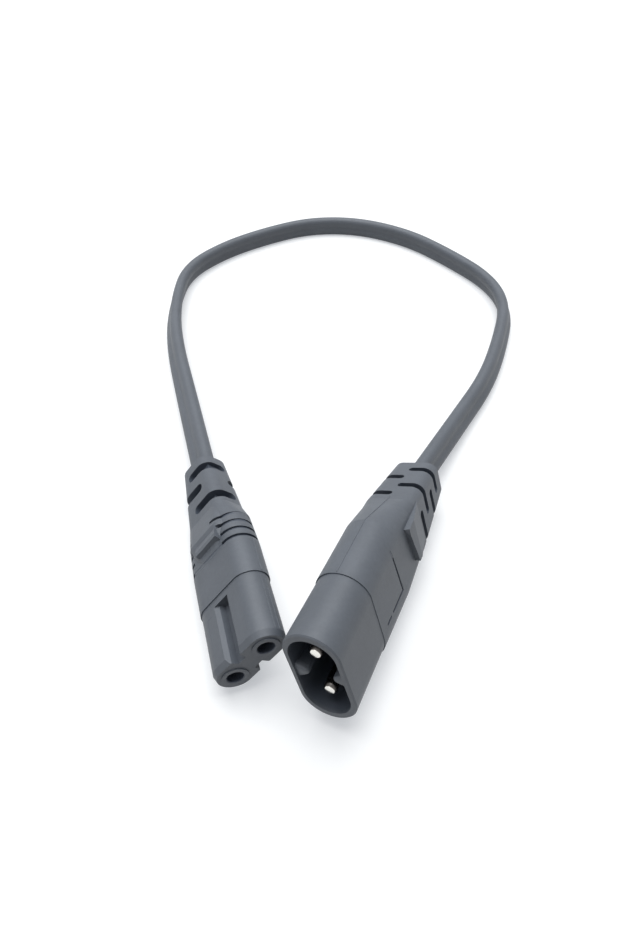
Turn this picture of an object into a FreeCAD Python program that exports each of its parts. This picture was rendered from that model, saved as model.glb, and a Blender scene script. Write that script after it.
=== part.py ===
import FreeCAD, Part
import math
import os

from FreeCAD import Matrix, Placement, Vector

# Figure-eight extension lead in millimetres: a two-hole connector (the socket) and a two-pin
# connector (the plug) joined by a flat two-core cable that lies in a loop on a table.
# Each connector is modelled in its own frame: x from lobe to lobe, y across the flat sides,
# z out of the mating face at z = 0, so that the body lies at negative z. Then it is turned
# to the pose in which it lies and lowered until it rests on the table at z = 0.

# Mating geometry that both connectors share
PIN_PITCH = 8.6
PIN_D = 2.4
MATE_GAP_END = 0.5
MATE_GAP_SIDE = 0.55
RIB_GAP_SIDE = 0.5
RIB_GAP_TIP = 0.35
RIB_GAP_BASE = 0.55

# Flat cable, its cores and their strands
CABLE_W = 6.2
CABLE_T = 3.3
CORE_D = 2.2
CORE_LEVEL = 3.0
STRAND_D = 1.0
SHEATH_ENTRY = 12.0
LEAD_OUT = 25.1
ARC_SHARE = 0.45
SLOT_SKIN = 0.45

# How far a cutting shape stands out beyond the face that it opens
OVERCUT = 1.0

# Socket: hard front insert
SOCKET_W = 15.8
SOCKET_H = 7.2
INSERT_LEN = 13.1
INSERT_EDGE = 0.45
INSERT_EDGE_LEN = 1.1
BORE_D = 3.0
BORE_EDGE = 0.15
CHAMBER_D = 3.9
RING_D = 4.8
RING_RISE = 0.2
VALLEY_LEN = 11.7
VALLEY_DEPTH = 1.9
VALLEY_TOP_W = 3.9
VALLEY_KNEE_W = 2.4
VALLEY_KNEE_DEPTH = 0.6
VALLEY_FLOOR_W = 2.0

# Socket: contacts and the block that holds them
CONTACT_SETBACK = 3.0
CONTACT_GAP = 0.1
CONTACT_LEN = 9.0
CONTACT_D = 3.3
CONTACT_SLIT = 0.5
PIN_GRIP_GAP = 0.05
CRIMP_LEN = 4.0
CRIMP_DEPTH = 3.2
SOCKET_BLOCK_LEN = 9.0
SOCKET_BLOCK_W = 13.2
SOCKET_BLOCK_H = 5.0

# Socket: soft overmould with its grip and strain relief
SOCKET_PROUD = 0.2
SOCKET_LEN = 49.0
SOCKET_GRIP_START = 21.0
SOCKET_GRIP_END = 28.5
SOCKET_GRIP_W = 15.2
SOCKET_NECK_END = 33.0
SOCKET_NECK_W = 11.5
SOCKET_CORNER = 2.6
SOCKET_TAIL_W = 8.5
SOCKET_TAIL_H = 7.3
TAIL_EDGE = 0.4
GRIP_WIDTH = 0.7
GRIP_DEPTH = 0.5
GRIP_FIRST = 21.9
GRIP_PITCH = 2.03
GRIP_REACH = 1.9
GRIP_STARTS = [(3.8, 5.2), (3.9, 4.6), (3.9, 4.2), (2.6, 3.7)]
SADDLE_START = 21.4
SADDLE_START_W = 8.4
SADDLE_CREST = 26.8
SADDLE_CREST_W = 11.2
SADDLE_RISE = 1.05
SADDLE_SINK = 0.1
SOCKET_STEP_AT = 23.3
SOCKET_STEP_CREST = 24.5
SOCKET_STEP_BACK = 29.0
SOCKET_STEP_RISE = 1.2
SOCKET_STEP_W = 6.3
SOCKET_STEP_SHIFT = 0.6
STEP_SLOPE = 0.3
SOCKET_SLOT_W = 2.2
SOCKET_SLOT_FIRST = 35.3
SOCKET_SLOT_PITCH = 4.9
SOCKET_SLOT_ENDS = [(-0.4, -0.3), (-0.9, 1.9)]

# Plug: hard shroud with its cavity, two keying ribs and two pins
SHROUD_WALL_END = 1.3
SHROUD_WALL_SIDE = 0.9
SHROUD_EDGE = 0.25
CAVITY_DEPTH = 11.2
SHROUD_FLOOR = 2.0
RIB_SHIFT = 0.3
RIB_SETBACK = 1.5
RIB_TIP_EDGE = 0.3
RIB_ROOT = 0.5
PIN_SETBACK = 1.2
PIN_TIP_D = 1.7
PIN_TIP_LEN = 0.6
PIN_ROOT_D = 2.8
PIN_COLLAR_D = 3.4
PIN_COLLAR_LEN = 1.2
PIN_TAIL_LEN = 7.0
PLUG_BLOCK_LEN = 10.0
PLUG_BLOCK_W = 15.6
PLUG_BLOCK_H = 6.4

# Plug: soft overmould with its label panel and strain relief
PLUG_PROUD = 0.2
PLUG_LEN = 53.5
PLUG_SHOULDER = 26.7
PLUG_SWELL = 0.2
PLUG_WAIST = 34.3
PLUG_WAIST_W = 15.4
PLUG_WAIST_CORNER = 3.4
PLUG_NECK_END = 37.2
PLUG_NECK_W = 13.6
PLUG_CORNER = 2.2
PLUG_TAIL_W = 8.6
PLUG_TAIL_H = 9.4
PLUG_STEP_AT = 30.2
PLUG_STEP_SLANT = 1.7
PLUG_STEP_CREST = 33.2
PLUG_STEP_RISE = 1.0
PLUG_STEP_W = 8.9
PLUG_STEP_SHIFT = 0.75
PANEL_LINE_W = 0.4
PANEL_LINE_DEPTH = 0.3
PANEL_BACK = 24.0
PANEL_FRONT = 18.5
PANEL_SIDE = 3.7
PANEL_SKEW = 0.5
PANEL_DASH_GAP = 1.0
PANEL_DASH = 2.0
PLUG_SLOT_W = 1.5
PLUG_SLOT_FIRST = 39.6
PLUG_SLOT_PITCH = 3.45
PLUG_SLOT_ENDS = [(-1.4, 0.8), (-0.3, 0.6)]

# Thumb rests of both: how far they reach under and into the body that carries them
STEP_ROOT = 1.0
STEP_SINK = 0.1
STEP_FADE = 1.5

# Poses on the table: where each mating face's centre stands, its heading, the tilt of its
# axis and the roll of its wide side, in degrees
SOCKET_X = -10.08
SOCKET_Y = -20.02
SOCKET_YAW = 16.2
SOCKET_TILT = -4.0
SOCKET_ROLL = 48.0
PLUG_X = 1.21
PLUG_Y = -24.90
PLUG_YAW = -24.6
PLUG_TILT = -6.8
PLUG_ROLL = -69.5

# Middle of the cable between the two straight lead-outs: x, y and height of its centreline
LOOP = [
    (-39.1, 80.0, 3.1),
    (-41.6, 100.0, 3.1),
    (-40.6, 118.8, 3.1),
    (-30.2, 133.2, 3.1),
    (-16.1, 144.1, 3.1),
    (-0.2, 152.4, 3.1),
    (17.4, 152.1, 3.1),
    (34.3, 142.9, 3.1),
    (46.1, 129.0, 3.1),
    (56.8, 112.8, 3.1),
    (59.2, 96.8, 3.1),
    (51.8, 77.9, 3.1),
    (43.0, 61.1, 3.4),
]


def rounded(width, height, corner, z):
    """Rectangle with rounded corners in the plane z, as four arcs and four lines in turn."""
    corner = min(corner, 0.49 * min(width, height))
    x = width / 2 - corner
    y = height / 2 - corner
    arcs = []
    for turn, (cx, cy) in enumerate([(x, y), (-x, y), (-x, -y), (x, -y)]):
        arc = Part.Circle(Vector(cx, cy, z), Vector(0, 0, 1), corner)
        arcs.append(arc.toShape(turn * math.pi / 2, (turn + 1) * math.pi / 2))
    edges = []
    for arc, following in zip(arcs, arcs[1:] + arcs[:1]):
        edges.append(arc)
        edges.append(Part.makeLine(arc.Vertexes[-1].Point, following.Vertexes[0].Point))
    return edges


def flank(near, far):
    """Face between two edges that answer each other in neighbouring sections."""
    start, end = near.Vertexes[0].Point, near.Vertexes[-1].Point
    beyond, over = far.Vertexes[-1].Point, far.Vertexes[0].Point
    if isinstance(near.Curve, Part.Line):
        return Part.Face(Part.makePolygon([start, end, beyond, over, start]))
    if abs(near.Curve.Radius - far.Curve.Radius) < 1e-6:
        return near.extrude(over - start)
    return Part.makeRuledSurface(near, far)


def body(sections):
    """Solid through a row of rounded sections: depth behind the face, width, height, corner."""
    rings = [rounded(w, h, c, -depth) for depth, w, h, c in sections]
    faces = [Part.Face(Part.Wire(ring)) for ring in (rings[0], rings[-1])]
    for near, far in zip(rings, rings[1:]):
        faces += [flank(a, b) for a, b in zip(near, far)]
    shell = Part.Shell(faces)
    shell.sewShape()
    return Part.Solid(shell)


def oval_face(width, height):
    """Flat oval in the plane z = 0: two straight sides and two half-round ends."""
    x = (width - height) / 2
    r = height / 2
    right = Part.Arc(Vector(x, -r, 0), Vector(x + r, 0, 0), Vector(x, r, 0)).toShape()
    left = Part.Arc(Vector(-x, r, 0), Vector(-x - r, 0, 0), Vector(-x, -r, 0)).toShape()
    top = Part.makeLine(Vector(x, r, 0), Vector(-x, r, 0))
    bottom = Part.makeLine(Vector(-x, -r, 0), Vector(x, -r, 0))
    return Part.Face(Part.Wire([right, top, left, bottom]))


def oval_prism(width, height, front, back):
    """Flat oval bar between two depths behind the face."""
    face = oval_face(width, height)
    face.translate(Vector(0, 0, -back))
    return face.extrude(Vector(0, 0, back - front))


def rod(diameter, front, back, x=0.0):
    """Round bar along the connector's axis between two depths."""
    return Part.makeCylinder(diameter / 2, back - front, Vector(x, 0, -back))


def prism(points, direction):
    """Solid from a flat polygon moved along a direction."""
    return Part.Face(Part.makePolygon(points + points[:1])).extrude(direction)


def box(x1, x2, y1, y2, z1, z2):
    return Part.makeBox(x2 - x1, y2 - y1, z2 - z1, Vector(x1, y1, z1))


def joined(shapes):
    return shapes[0].fuse(shapes[1:]).removeSplitter()


def edges_at(shape, z, reach):
    """Edges in the plane z that belong to the outline as wide as reach from the axis."""
    found = []
    for edge in shape.Edges:
        b = edge.BoundBox
        if abs(b.ZMin - z) < 0.01 and abs(b.ZMax - z) < 0.01 and max(abs(b.YMin), abs(b.YMax)) > reach:
            found.append(edge)
    return found


def half_turned(shape):
    """The same feature on the opposite flat side."""
    copy = shape.copy()
    copy.rotate(Vector(0, 0, 0), Vector(0, 0, 1), 180)
    return copy


def circle_face(centre, normal, diameter):
    return Part.Face(Part.Wire(Part.Circle(centre, normal, diameter / 2).toShape()))


def swept(face, points):
    """A flat section carried along straight runs and tangent arcs, with the arcs' radii."""
    pieces = []
    radii = []
    here = points[0]
    face = face.copy()
    for before, corner, after in zip(points, points[1:], points[2:]):
        into = (corner - before).normalize()
        out_of = (after - corner).normalize()
        turn = into.getAngle(out_of)
        trim = ARC_SHARE * min((corner - before).Length, (after - corner).Length)
        radius = trim / math.tan(turn / 2)
        start = corner - into * trim
        pieces.append(face.extrude(start - here))
        face.translate(start - here)
        axis = into.cross(out_of).normalize()
        centre = start + axis.cross(into) * radius
        pieces.append(face.revolve(centre, axis, math.degrees(turn)))
        face.rotate(centre, axis, math.degrees(turn))
        here = corner + out_of * trim
        radii.append(radius)
    pieces.append(face.extrude(points[-1] - here))
    return pieces[0].fuse(pieces[1:]), radii


def core_run(side, start, straight_to, end, diameter):
    """One core, from its contact inwards to its place in the flat cable, in three runs."""
    wide = side * PIN_PITCH / 2
    narrow = side * (CABLE_W - CABLE_T) / 2
    face = circle_face(Vector(wide, 0, -start), Vector(0, 0, 1), diameter)
    runs = [face.extrude(Vector(0, 0, start - straight_to))]
    face.translate(Vector(0, 0, start - straight_to))
    inwards = Vector(narrow - wide, 0, straight_to - end + CORE_LEVEL)
    runs.append(face.extrude(inwards))
    face.translate(inwards)
    runs.append(face.extrude(Vector(0, 0, -CORE_LEVEL)))
    return runs[0].fuse(runs[1:])


def relief_slot(depth, width, x_from, y_from, x_floor, y_floor, side_x, side_y):
    """One slot of a strain relief, round the corner that side_x and side_y name.

    It runs from x_from on the flat side to y_from on the narrow edge and is cut down to the
    skin that is left over the cable at x_floor and y_floor. Both of its ends are round.
    """
    far = PLUG_BLOCK_W
    z1 = -depth - width / 2
    z2 = -depth + width / 2
    flat = box(x_from, far, y_floor, far, z1, z2)
    edge = box(x_floor, far, y_from, far, z1, z2)
    flat_end = Part.makeCylinder(width / 2, far - y_floor, Vector(x_from, y_floor, -depth), Vector(0, 1, 0))
    edge_end = Part.makeCylinder(width / 2, far - x_floor, Vector(x_floor, y_from, -depth), Vector(1, 0, 0))
    slot = joined([flat, edge, flat_end, edge_end])
    if side_x < 0:
        slot = slot.mirror(Vector(0, 0, 0), Vector(1, 0, 0))
    if side_y < 0:
        slot = slot.mirror(Vector(0, 0, 0), Vector(0, 1, 0))
    return slot


def slot_pair(depth, width, ends, swapped):
    """The same slot at one corner and at the opposite one, or at the other two if swapped.

    ends gives where it starts on the flat side and where it stops on the narrow edge.
    """
    x_from, y_from = ends
    side = -1 if swapped else 1
    x_floor = CABLE_W / 2 + SLOT_SKIN
    y_floor = CABLE_T / 2 + SLOT_SKIN
    return [
        relief_slot(depth, width, x_from, y_from, x_floor, y_floor, side, 1),
        relief_slot(depth, width, x_from, y_from, x_floor, y_floor, -side, -1),
    ]


def thumb_step(outline, base, rise, front, crest, back):
    """Raised rest for the thumb on the +y side: a wall at its front that fades out behind.

    outline gives its corners as x and depth; base is the height of the flat side there. The
    rest is level as far as its crest and is sunk into the body at its back.
    """
    low = base - STEP_ROOT
    top = base + rise
    plan = prism([Vector(x, low, -depth) for x, depth in outline], Vector(0, top, 0))
    profile = [
        Vector(-PLUG_BLOCK_W, low, -front),
        Vector(-PLUG_BLOCK_W, base, -front),
        Vector(-PLUG_BLOCK_W, top, -front - STEP_SLOPE * rise),
        Vector(-PLUG_BLOCK_W, top, -crest),
        Vector(-PLUG_BLOCK_W, base - STEP_SINK, -back),
        Vector(-PLUG_BLOCK_W, low, -back),
    ]
    return plan.common(prism(profile, Vector(2 * PLUG_BLOCK_W, 0, 0)))


def valley_outline():
    """Right half of a valley's section: half width and height above the axis."""
    return [
        (VALLEY_TOP_W / 2, SOCKET_H / 2),
        (VALLEY_KNEE_W / 2, SOCKET_H / 2 - VALLEY_KNEE_DEPTH),
        (VALLEY_FLOOR_W / 2, SOCKET_H / 2 - VALLEY_DEPTH),
    ]


def socket_front_insert():
    """Hard front of the socket: flat oval with two bores, a ring round each, and two valleys."""
    shape = oval_prism(SOCKET_W, SOCKET_H, 0, INSERT_LEN)
    edges = edges_at(shape, 0, SOCKET_H / 2 - 0.01)
    shape = shape.makeChamfer(INSERT_EDGE_LEN, INSERT_EDGE, edges)
    right = [Vector(x, y, 0) for x, y in valley_outline()]
    top = [Vector(VALLEY_TOP_W / 2, SOCKET_H, 0)]
    half = top + right
    outline = half + [Vector(-p.x, p.y, 0) for p in reversed(half)]
    valley = prism(outline, Vector(0, 0, -VALLEY_LEN))
    shape = shape.cut([valley, half_turned(valley)])
    rings = [rod(RING_D, -RING_RISE, CONTACT_SETBACK, s * PIN_PITCH / 2) for s in (1, -1)]
    shape = shape.fuse(rings)
    holes = []
    for side in (1, -1):
        x = side * PIN_PITCH / 2
        holes.append(rod(BORE_D, -RING_RISE - OVERCUT, CONTACT_SETBACK + OVERCUT, x))
        holes.append(rod(CHAMBER_D, CONTACT_SETBACK, INSERT_LEN + OVERCUT, x))
        holes.append(Part.makeCone(BORE_D / 2, BORE_D / 2 + BORE_EDGE, BORE_EDGE,
                                   Vector(x, 0, RING_RISE - BORE_EDGE)))
    return shape.cut(holes)


def socket_contact(side):
    """Slit sleeve that grips a pin, its collar in the chamber and the crimp barrel behind it."""
    x = side * PIN_PITCH / 2
    sleeve_start = CONTACT_SETBACK + CONTACT_GAP
    sleeve_end = CONTACT_SETBACK + CONTACT_LEN
    grip_d = PIN_D + 2 * PIN_GRIP_GAP
    sleeve = rod(CONTACT_D, sleeve_start, sleeve_end, x).cut(rod(grip_d, 0, sleeve_end, x))
    slit = box(x - CONTACT_SLIT / 2, x + CONTACT_SLIT / 2, 0, CONTACT_D,
               -sleeve_end, -CONTACT_SETBACK + OVERCUT)
    collar = rod(CHAMBER_D, sleeve_end, INSERT_LEN, x)
    barrel_end = INSERT_LEN + CRIMP_LEN
    barrel = rod(CORE_D, INSERT_LEN, barrel_end, x)
    barrel = barrel.cut(rod(STRAND_D, barrel_end - CRIMP_DEPTH, barrel_end, x))
    return joined([sleeve.cut(slit), collar, barrel])


def socket_block_solid():
    return oval_prism(SOCKET_BLOCK_W, SOCKET_BLOCK_H, INSERT_LEN, INSERT_LEN + SOCKET_BLOCK_LEN)


def socket_inner_mould():
    """Block behind the insert that holds the two crimped contacts at their pitch."""
    holes = [rod(CORE_D, INSERT_LEN - OVERCUT, INSERT_LEN + CRIMP_LEN, s * PIN_PITCH / 2)
             for s in (1, -1)]
    holes += [core_run(*socket_core_args(side), CORE_D) for side in (1, -1)]
    return socket_block_solid().cut(holes)


def socket_core_args(side):
    return side, INSERT_LEN + CRIMP_LEN, INSERT_LEN + SOCKET_BLOCK_LEN, SOCKET_LEN - SHEATH_ENTRY


def insulated(side, start, straight_to, end):
    """Insulation of one core as a tube round its strands."""
    outer = core_run(side, start, straight_to, end, CORE_D)
    return outer.cut(core_run(side, start, straight_to, end, STRAND_D))


def strands(side, start, straight_to, end):
    """Bare strands from the bottom of the crimp barrel to the sheath."""
    crimped = rod(STRAND_D, start - CRIMP_DEPTH, start, side * PIN_PITCH / 2)
    return joined([crimped, core_run(side, start, straight_to, end, STRAND_D)])


def socket_sections():
    width = SOCKET_W + 2 * SOCKET_PROUD
    height = SOCKET_H + 2 * SOCKET_PROUD
    return [
        (INSERT_LEN, width, height, height),
        (SOCKET_GRIP_START, width, height, height),
        (SOCKET_GRIP_END, SOCKET_GRIP_W, height, height),
        (SOCKET_NECK_END, SOCKET_NECK_W, height, SOCKET_CORNER),
        (SOCKET_LEN - TAIL_EDGE, SOCKET_TAIL_W, SOCKET_TAIL_H, SOCKET_CORNER),
        (SOCKET_LEN, SOCKET_TAIL_W - 2 * TAIL_EDGE, SOCKET_TAIL_H - 2 * TAIL_EDGE,
         SOCKET_CORNER - TAIL_EDGE),
    ]


def saddle():
    """Rise of both flat sides between the lobes, from the grip to the neck."""
    height = SOCKET_H + 2 * SOCKET_PROUD
    sunk = height - 2 * SADDLE_SINK
    return body([
        (SADDLE_START, SADDLE_START_W, sunk, SOCKET_CORNER),
        (SADDLE_CREST, SADDLE_CREST_W, height + 2 * SADDLE_RISE, SOCKET_CORNER),
        (SOCKET_NECK_END, SOCKET_NECK_W - 2 * SADDLE_SINK, sunk, SOCKET_CORNER),
    ])


def grip_grooves():
    """Four grooves round each narrow edge, from the +y side to a reach below the middle."""
    width = SOCKET_W + 2 * SOCKET_PROUD
    height = SOCKET_H + 2 * SOCKET_PROUD
    core = oval_prism(width - 2 * GRIP_DEPTH, height - 2 * GRIP_DEPTH,
                      GRIP_FIRST - GRIP_PITCH, SOCKET_NECK_END)
    grooves = []
    for number, (right, left) in enumerate(GRIP_STARTS):
        z1 = -GRIP_FIRST - number * GRIP_PITCH - GRIP_WIDTH / 2
        z2 = z1 + GRIP_WIDTH
        grooves.append(box(right, SOCKET_W, -GRIP_REACH, SOCKET_H, z1, z2))
        grooves.append(box(-SOCKET_W, -left, -GRIP_REACH, SOCKET_H, z1, z2))
    return [groove.cut(core) for groove in grooves]


def socket_overmould(cable_end):
    """Soft body with grip grooves, a thumb step on each flat side and a slotted relief."""
    height = SOCKET_H + 2 * SOCKET_PROUD
    shape = body(socket_sections()).fuse(saddle()).cut(grip_grooves())
    left = SOCKET_STEP_SHIFT - SOCKET_STEP_W / 2
    right = SOCKET_STEP_SHIFT + SOCKET_STEP_W / 2
    outline = [
        (left, SOCKET_STEP_AT),
        (right, SOCKET_STEP_AT),
        (right, SOCKET_STEP_BACK),
        (left, SOCKET_STEP_BACK),
    ]
    step = thumb_step(outline, height / 2, SOCKET_STEP_RISE, SOCKET_STEP_AT,
                      SOCKET_STEP_CREST, SOCKET_STEP_BACK)
    shape = shape.fuse([step, half_turned(step)])
    slots = []
    for number in range(3):
        depth = SOCKET_SLOT_FIRST + number * SOCKET_SLOT_PITCH
        ends = SOCKET_SLOT_ENDS[number % 2]
        slots += slot_pair(depth, SOCKET_SLOT_W, ends, number % 2)
    shape = shape.cut(slots)
    inside = [socket_block_solid(), cable_end]
    inside += [core_run(*socket_core_args(side), CORE_D) for side in (1, -1)]
    return shape.cut(inside)


def cavity_w():
    return SOCKET_W + 2 * MATE_GAP_END


def cavity_h():
    return SOCKET_H + 2 * MATE_GAP_SIDE


def shroud_len():
    return CAVITY_DEPTH + SHROUD_FLOOR


def rib():
    """Rib on the +y wall that enters the socket's valley, tapered to its tip."""
    tip = SOCKET_H / 2 - VALLEY_DEPTH + RIB_GAP_TIP
    root = (cavity_h() + SHROUD_WALL_SIDE) / 2
    tip_w = VALLEY_FLOOR_W / 2 - RIB_GAP_SIDE
    base_w = VALLEY_TOP_W / 2 - RIB_GAP_BASE
    outline = [
        Vector(base_w, root, 0),
        Vector(tip_w, tip + RIB_TIP_EDGE, 0),
        Vector(tip_w - RIB_TIP_EDGE, tip, 0),
        Vector(RIB_TIP_EDGE - tip_w, tip, 0),
        Vector(-tip_w, tip + RIB_TIP_EDGE, 0),
        Vector(-base_w, root, 0),
    ]
    shape = prism(outline, Vector(0, 0, RIB_SETBACK - CAVITY_DEPTH - RIB_ROOT))
    shape.translate(Vector(RIB_SHIFT, 0, -RIB_SETBACK))
    return shape


def plug_shroud():
    """Hard oval shroud: cavity open at the rim, floor at its back and two keying ribs."""
    width = cavity_w() + 2 * SHROUD_WALL_END
    height = cavity_h() + 2 * SHROUD_WALL_SIDE
    shape = oval_prism(width, height, 0, shroud_len())
    shape = shape.makeChamfer(SHROUD_EDGE, edges_at(shape, 0, height / 2 - 0.01))
    shape = shape.cut(oval_prism(cavity_w(), cavity_h(), -OVERCUT, CAVITY_DEPTH))
    shape = shape.fuse([rib(), half_turned(rib())])
    return shape.cut([rod(PIN_ROOT_D, CAVITY_DEPTH - OVERCUT, shroud_len() + OVERCUT,
                          s * PIN_PITCH / 2) for s in (1, -1)])


def plug_pin(side):
    """Round pin with a bevelled tip, a thicker root in the shroud's floor, a collar behind
    it and a crimp end."""
    x = side * PIN_PITCH / 2
    tip = Part.makeCone(PIN_D / 2, PIN_TIP_D / 2, PIN_TIP_LEN,
                        Vector(x, 0, -PIN_SETBACK - PIN_TIP_LEN))
    tail_end = shroud_len() + PIN_TAIL_LEN
    shank = rod(PIN_D, PIN_SETBACK + PIN_TIP_LEN, CAVITY_DEPTH, x)
    root = rod(PIN_ROOT_D, CAVITY_DEPTH, shroud_len(), x)
    collar = rod(PIN_COLLAR_D, shroud_len(), shroud_len() + PIN_COLLAR_LEN, x)
    tail = rod(CORE_D, shroud_len() + PIN_COLLAR_LEN, tail_end, x)
    tail = tail.cut(rod(STRAND_D, tail_end - CRIMP_DEPTH, tail_end, x))
    return joined([tip, shank, root, collar, tail])


def plug_block_solid():
    return oval_prism(PLUG_BLOCK_W, PLUG_BLOCK_H, shroud_len(), shroud_len() + PLUG_BLOCK_LEN)


def plug_inner_mould():
    """Block behind the shroud that holds the two pins at their pitch."""
    holes = []
    for side in (1, -1):
        x = side * PIN_PITCH / 2
        holes.append(rod(PIN_COLLAR_D, shroud_len() - OVERCUT, shroud_len() + PIN_COLLAR_LEN, x))
        holes.append(rod(CORE_D, shroud_len() - OVERCUT, shroud_len() + PIN_TAIL_LEN, x))
        holes.append(core_run(*plug_core_args(side), CORE_D))
    return plug_block_solid().cut(holes)


def plug_core_args(side):
    return side, shroud_len() + PIN_TAIL_LEN, shroud_len() + PLUG_BLOCK_LEN, PLUG_LEN - SHEATH_ENTRY


def plug_height():
    return cavity_h() + 2 * SHROUD_WALL_SIDE + PLUG_PROUD


def plug_sections():
    width = cavity_w() + 2 * SHROUD_WALL_END + 2 * PLUG_PROUD
    height = plug_height()
    return [
        (shroud_len(), width, height, height),
        (PLUG_SHOULDER, width + 2 * PLUG_SWELL, height, height),
        (PLUG_WAIST, PLUG_WAIST_W, height, PLUG_WAIST_CORNER),
        (PLUG_NECK_END, PLUG_NECK_W, height, PLUG_CORNER),
        (PLUG_LEN - TAIL_EDGE, PLUG_TAIL_W, PLUG_TAIL_H, PLUG_CORNER),
        (PLUG_LEN, PLUG_TAIL_W - 2 * TAIL_EDGE, PLUG_TAIL_H - 2 * TAIL_EDGE,
         PLUG_CORNER - TAIL_EDGE),
    ]


def panel_line(x1, depth1, x2, depth2):
    """Straight groove of the label panel between two points of the +y side."""
    start = Vector(x1, plug_height() / 2 - PANEL_LINE_DEPTH, -depth1)
    along = Vector(x2 - x1, 0, depth1 - depth2)
    across = along.cross(Vector(0, 1, 0)).normalize() * (PANEL_LINE_W / 2)
    corners = [start + across, start + along + across, start + along - across, start - across]
    return prism(corners, Vector(0, 1, 0))


def label_panel():
    """L-shaped groove with a short dash in line, bare as the panel that it frames."""
    dash_back = PANEL_FRONT - PANEL_DASH_GAP
    return [
        panel_line(-PLUG_STEP_W / 2, PANEL_BACK - PANEL_SKEW, PANEL_SIDE, PANEL_BACK),
        panel_line(PANEL_SIDE, PANEL_BACK + PANEL_LINE_W / 2, PANEL_SIDE, PANEL_FRONT),
        panel_line(PANEL_SIDE, dash_back, PANEL_SIDE, dash_back - PANEL_DASH),
    ]


def plug_overmould(cable_end):
    """Soft body with a label panel, a thumb step on each flat side and a slotted relief."""
    height = plug_height()
    shape = body(plug_sections()).cut(label_panel())
    left = -PLUG_STEP_SHIFT - PLUG_STEP_W / 2
    right = -PLUG_STEP_SHIFT + PLUG_STEP_W / 2
    back = PLUG_NECK_END + STEP_FADE
    outline = [
        (left, PLUG_STEP_AT),
        (right, PLUG_STEP_AT + PLUG_STEP_SLANT),
        (right, back),
        (left, back),
    ]
    step = thumb_step(outline, height / 2, PLUG_STEP_RISE, PLUG_STEP_AT, PLUG_STEP_CREST, back)
    shape = shape.fuse([step, half_turned(step)])
    slots = []
    for number in range(4):
        depth = PLUG_SLOT_FIRST + number * PLUG_SLOT_PITCH
        ends = PLUG_SLOT_ENDS[number % 2]
        slots += slot_pair(depth, PLUG_SLOT_W, ends, number % 2)
    shape = shape.cut(slots)
    inside = [plug_block_solid(), cable_end]
    inside += [rod(PIN_COLLAR_D, shroud_len(), shroud_len() + PIN_COLLAR_LEN, s * PIN_PITCH / 2)
               for s in (1, -1)]
    inside += [core_run(*plug_core_args(side), CORE_D) for side in (1, -1)]
    return shape.cut(inside)


def pose(yaw, tilt, roll, x, y, z):
    """Placement of a connector whose face centre is at x, y, z."""
    yaw, tilt, roll = math.radians(yaw), math.radians(tilt), math.radians(roll)
    across = Vector(math.cos(yaw), math.sin(yaw), 0)
    out = Vector(math.sin(yaw) * math.cos(tilt), -math.cos(yaw) * math.cos(tilt), -math.sin(tilt))
    up = out.cross(across)
    side = across * math.cos(roll) + up * math.sin(roll)
    flat = up * math.cos(roll) - across * math.sin(roll)
    return Placement(Matrix(side.x, flat.x, out.x, x,
                            side.y, flat.y, out.y, y,
                            side.z, flat.z, out.z, z,
                            0, 0, 0, 1))


def lowest(shape):
    return shape.optimalBoundingBox(False).ZMin


def lying(outer_pieces, yaw, tilt, roll, x, y):
    """Pose in which the connector made of these outer pieces touches the table."""
    raised = pose(yaw, tilt, roll, x, y, 0)
    drop = min(lowest(piece.transformed(raised.toMatrix())) for piece in outer_pieces)
    return pose(yaw, tilt, roll, x, y, -drop)


def cable_route(socket_pose, plug_pose):
    """Centreline from the socket's tail round the loop to the plug's tail."""
    points = [
        socket_pose.multVec(Vector(0, 0, -SOCKET_LEN)),
        socket_pose.multVec(Vector(0, 0, -SOCKET_LEN - LEAD_OUT)),
    ]
    points += [Vector(*point) for point in LOOP]
    points += [
        plug_pose.multVec(Vector(0, 0, -PLUG_LEN - LEAD_OUT)),
        plug_pose.multVec(Vector(0, 0, -PLUG_LEN)),
    ]
    return points


def upright_section(point, along):
    """The cable's flat oval on edge, square to the route at its first point."""
    wide = Vector(0, 0, 1) - along * along.z
    wide.normalize()
    thin = along.cross(wide)
    face = oval_face(CABLE_W, CABLE_T)
    return face.transformed(Matrix(wide.x, thin.x, along.x, point.x,
                                   wide.y, thin.y, along.y, point.y,
                                   wide.z, thin.z, along.z, point.z,
                                   0, 0, 0, 1))


def cable_sheath(route, ends):
    """Whole jacket: the free loop and the two lengths that the overmoulds hold."""
    along = (route[1] - route[0]).normalize()
    free, radii = swept(upright_section(route[0], along), route)
    print("cable arc radii:", [round(r, 1) for r in radii])
    runs = sum((b - a).Length for a, b in zip(route, route[1:]))
    saved = 0.0
    for radius, a, b, c in zip(radii, route, route[1:], route[2:]):
        turn = (b - a).getAngle(c - b)
        saved += 2 * radius * math.tan(turn / 2) - radius * turn
    expected = oval_face(CABLE_W, CABLE_T).Area * (runs - saved)
    print("cable length %.1f, volume %.1f, section times length %.1f"
          % (runs - saved, free.Volume, expected))
    return free.fuse(ends)


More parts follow.
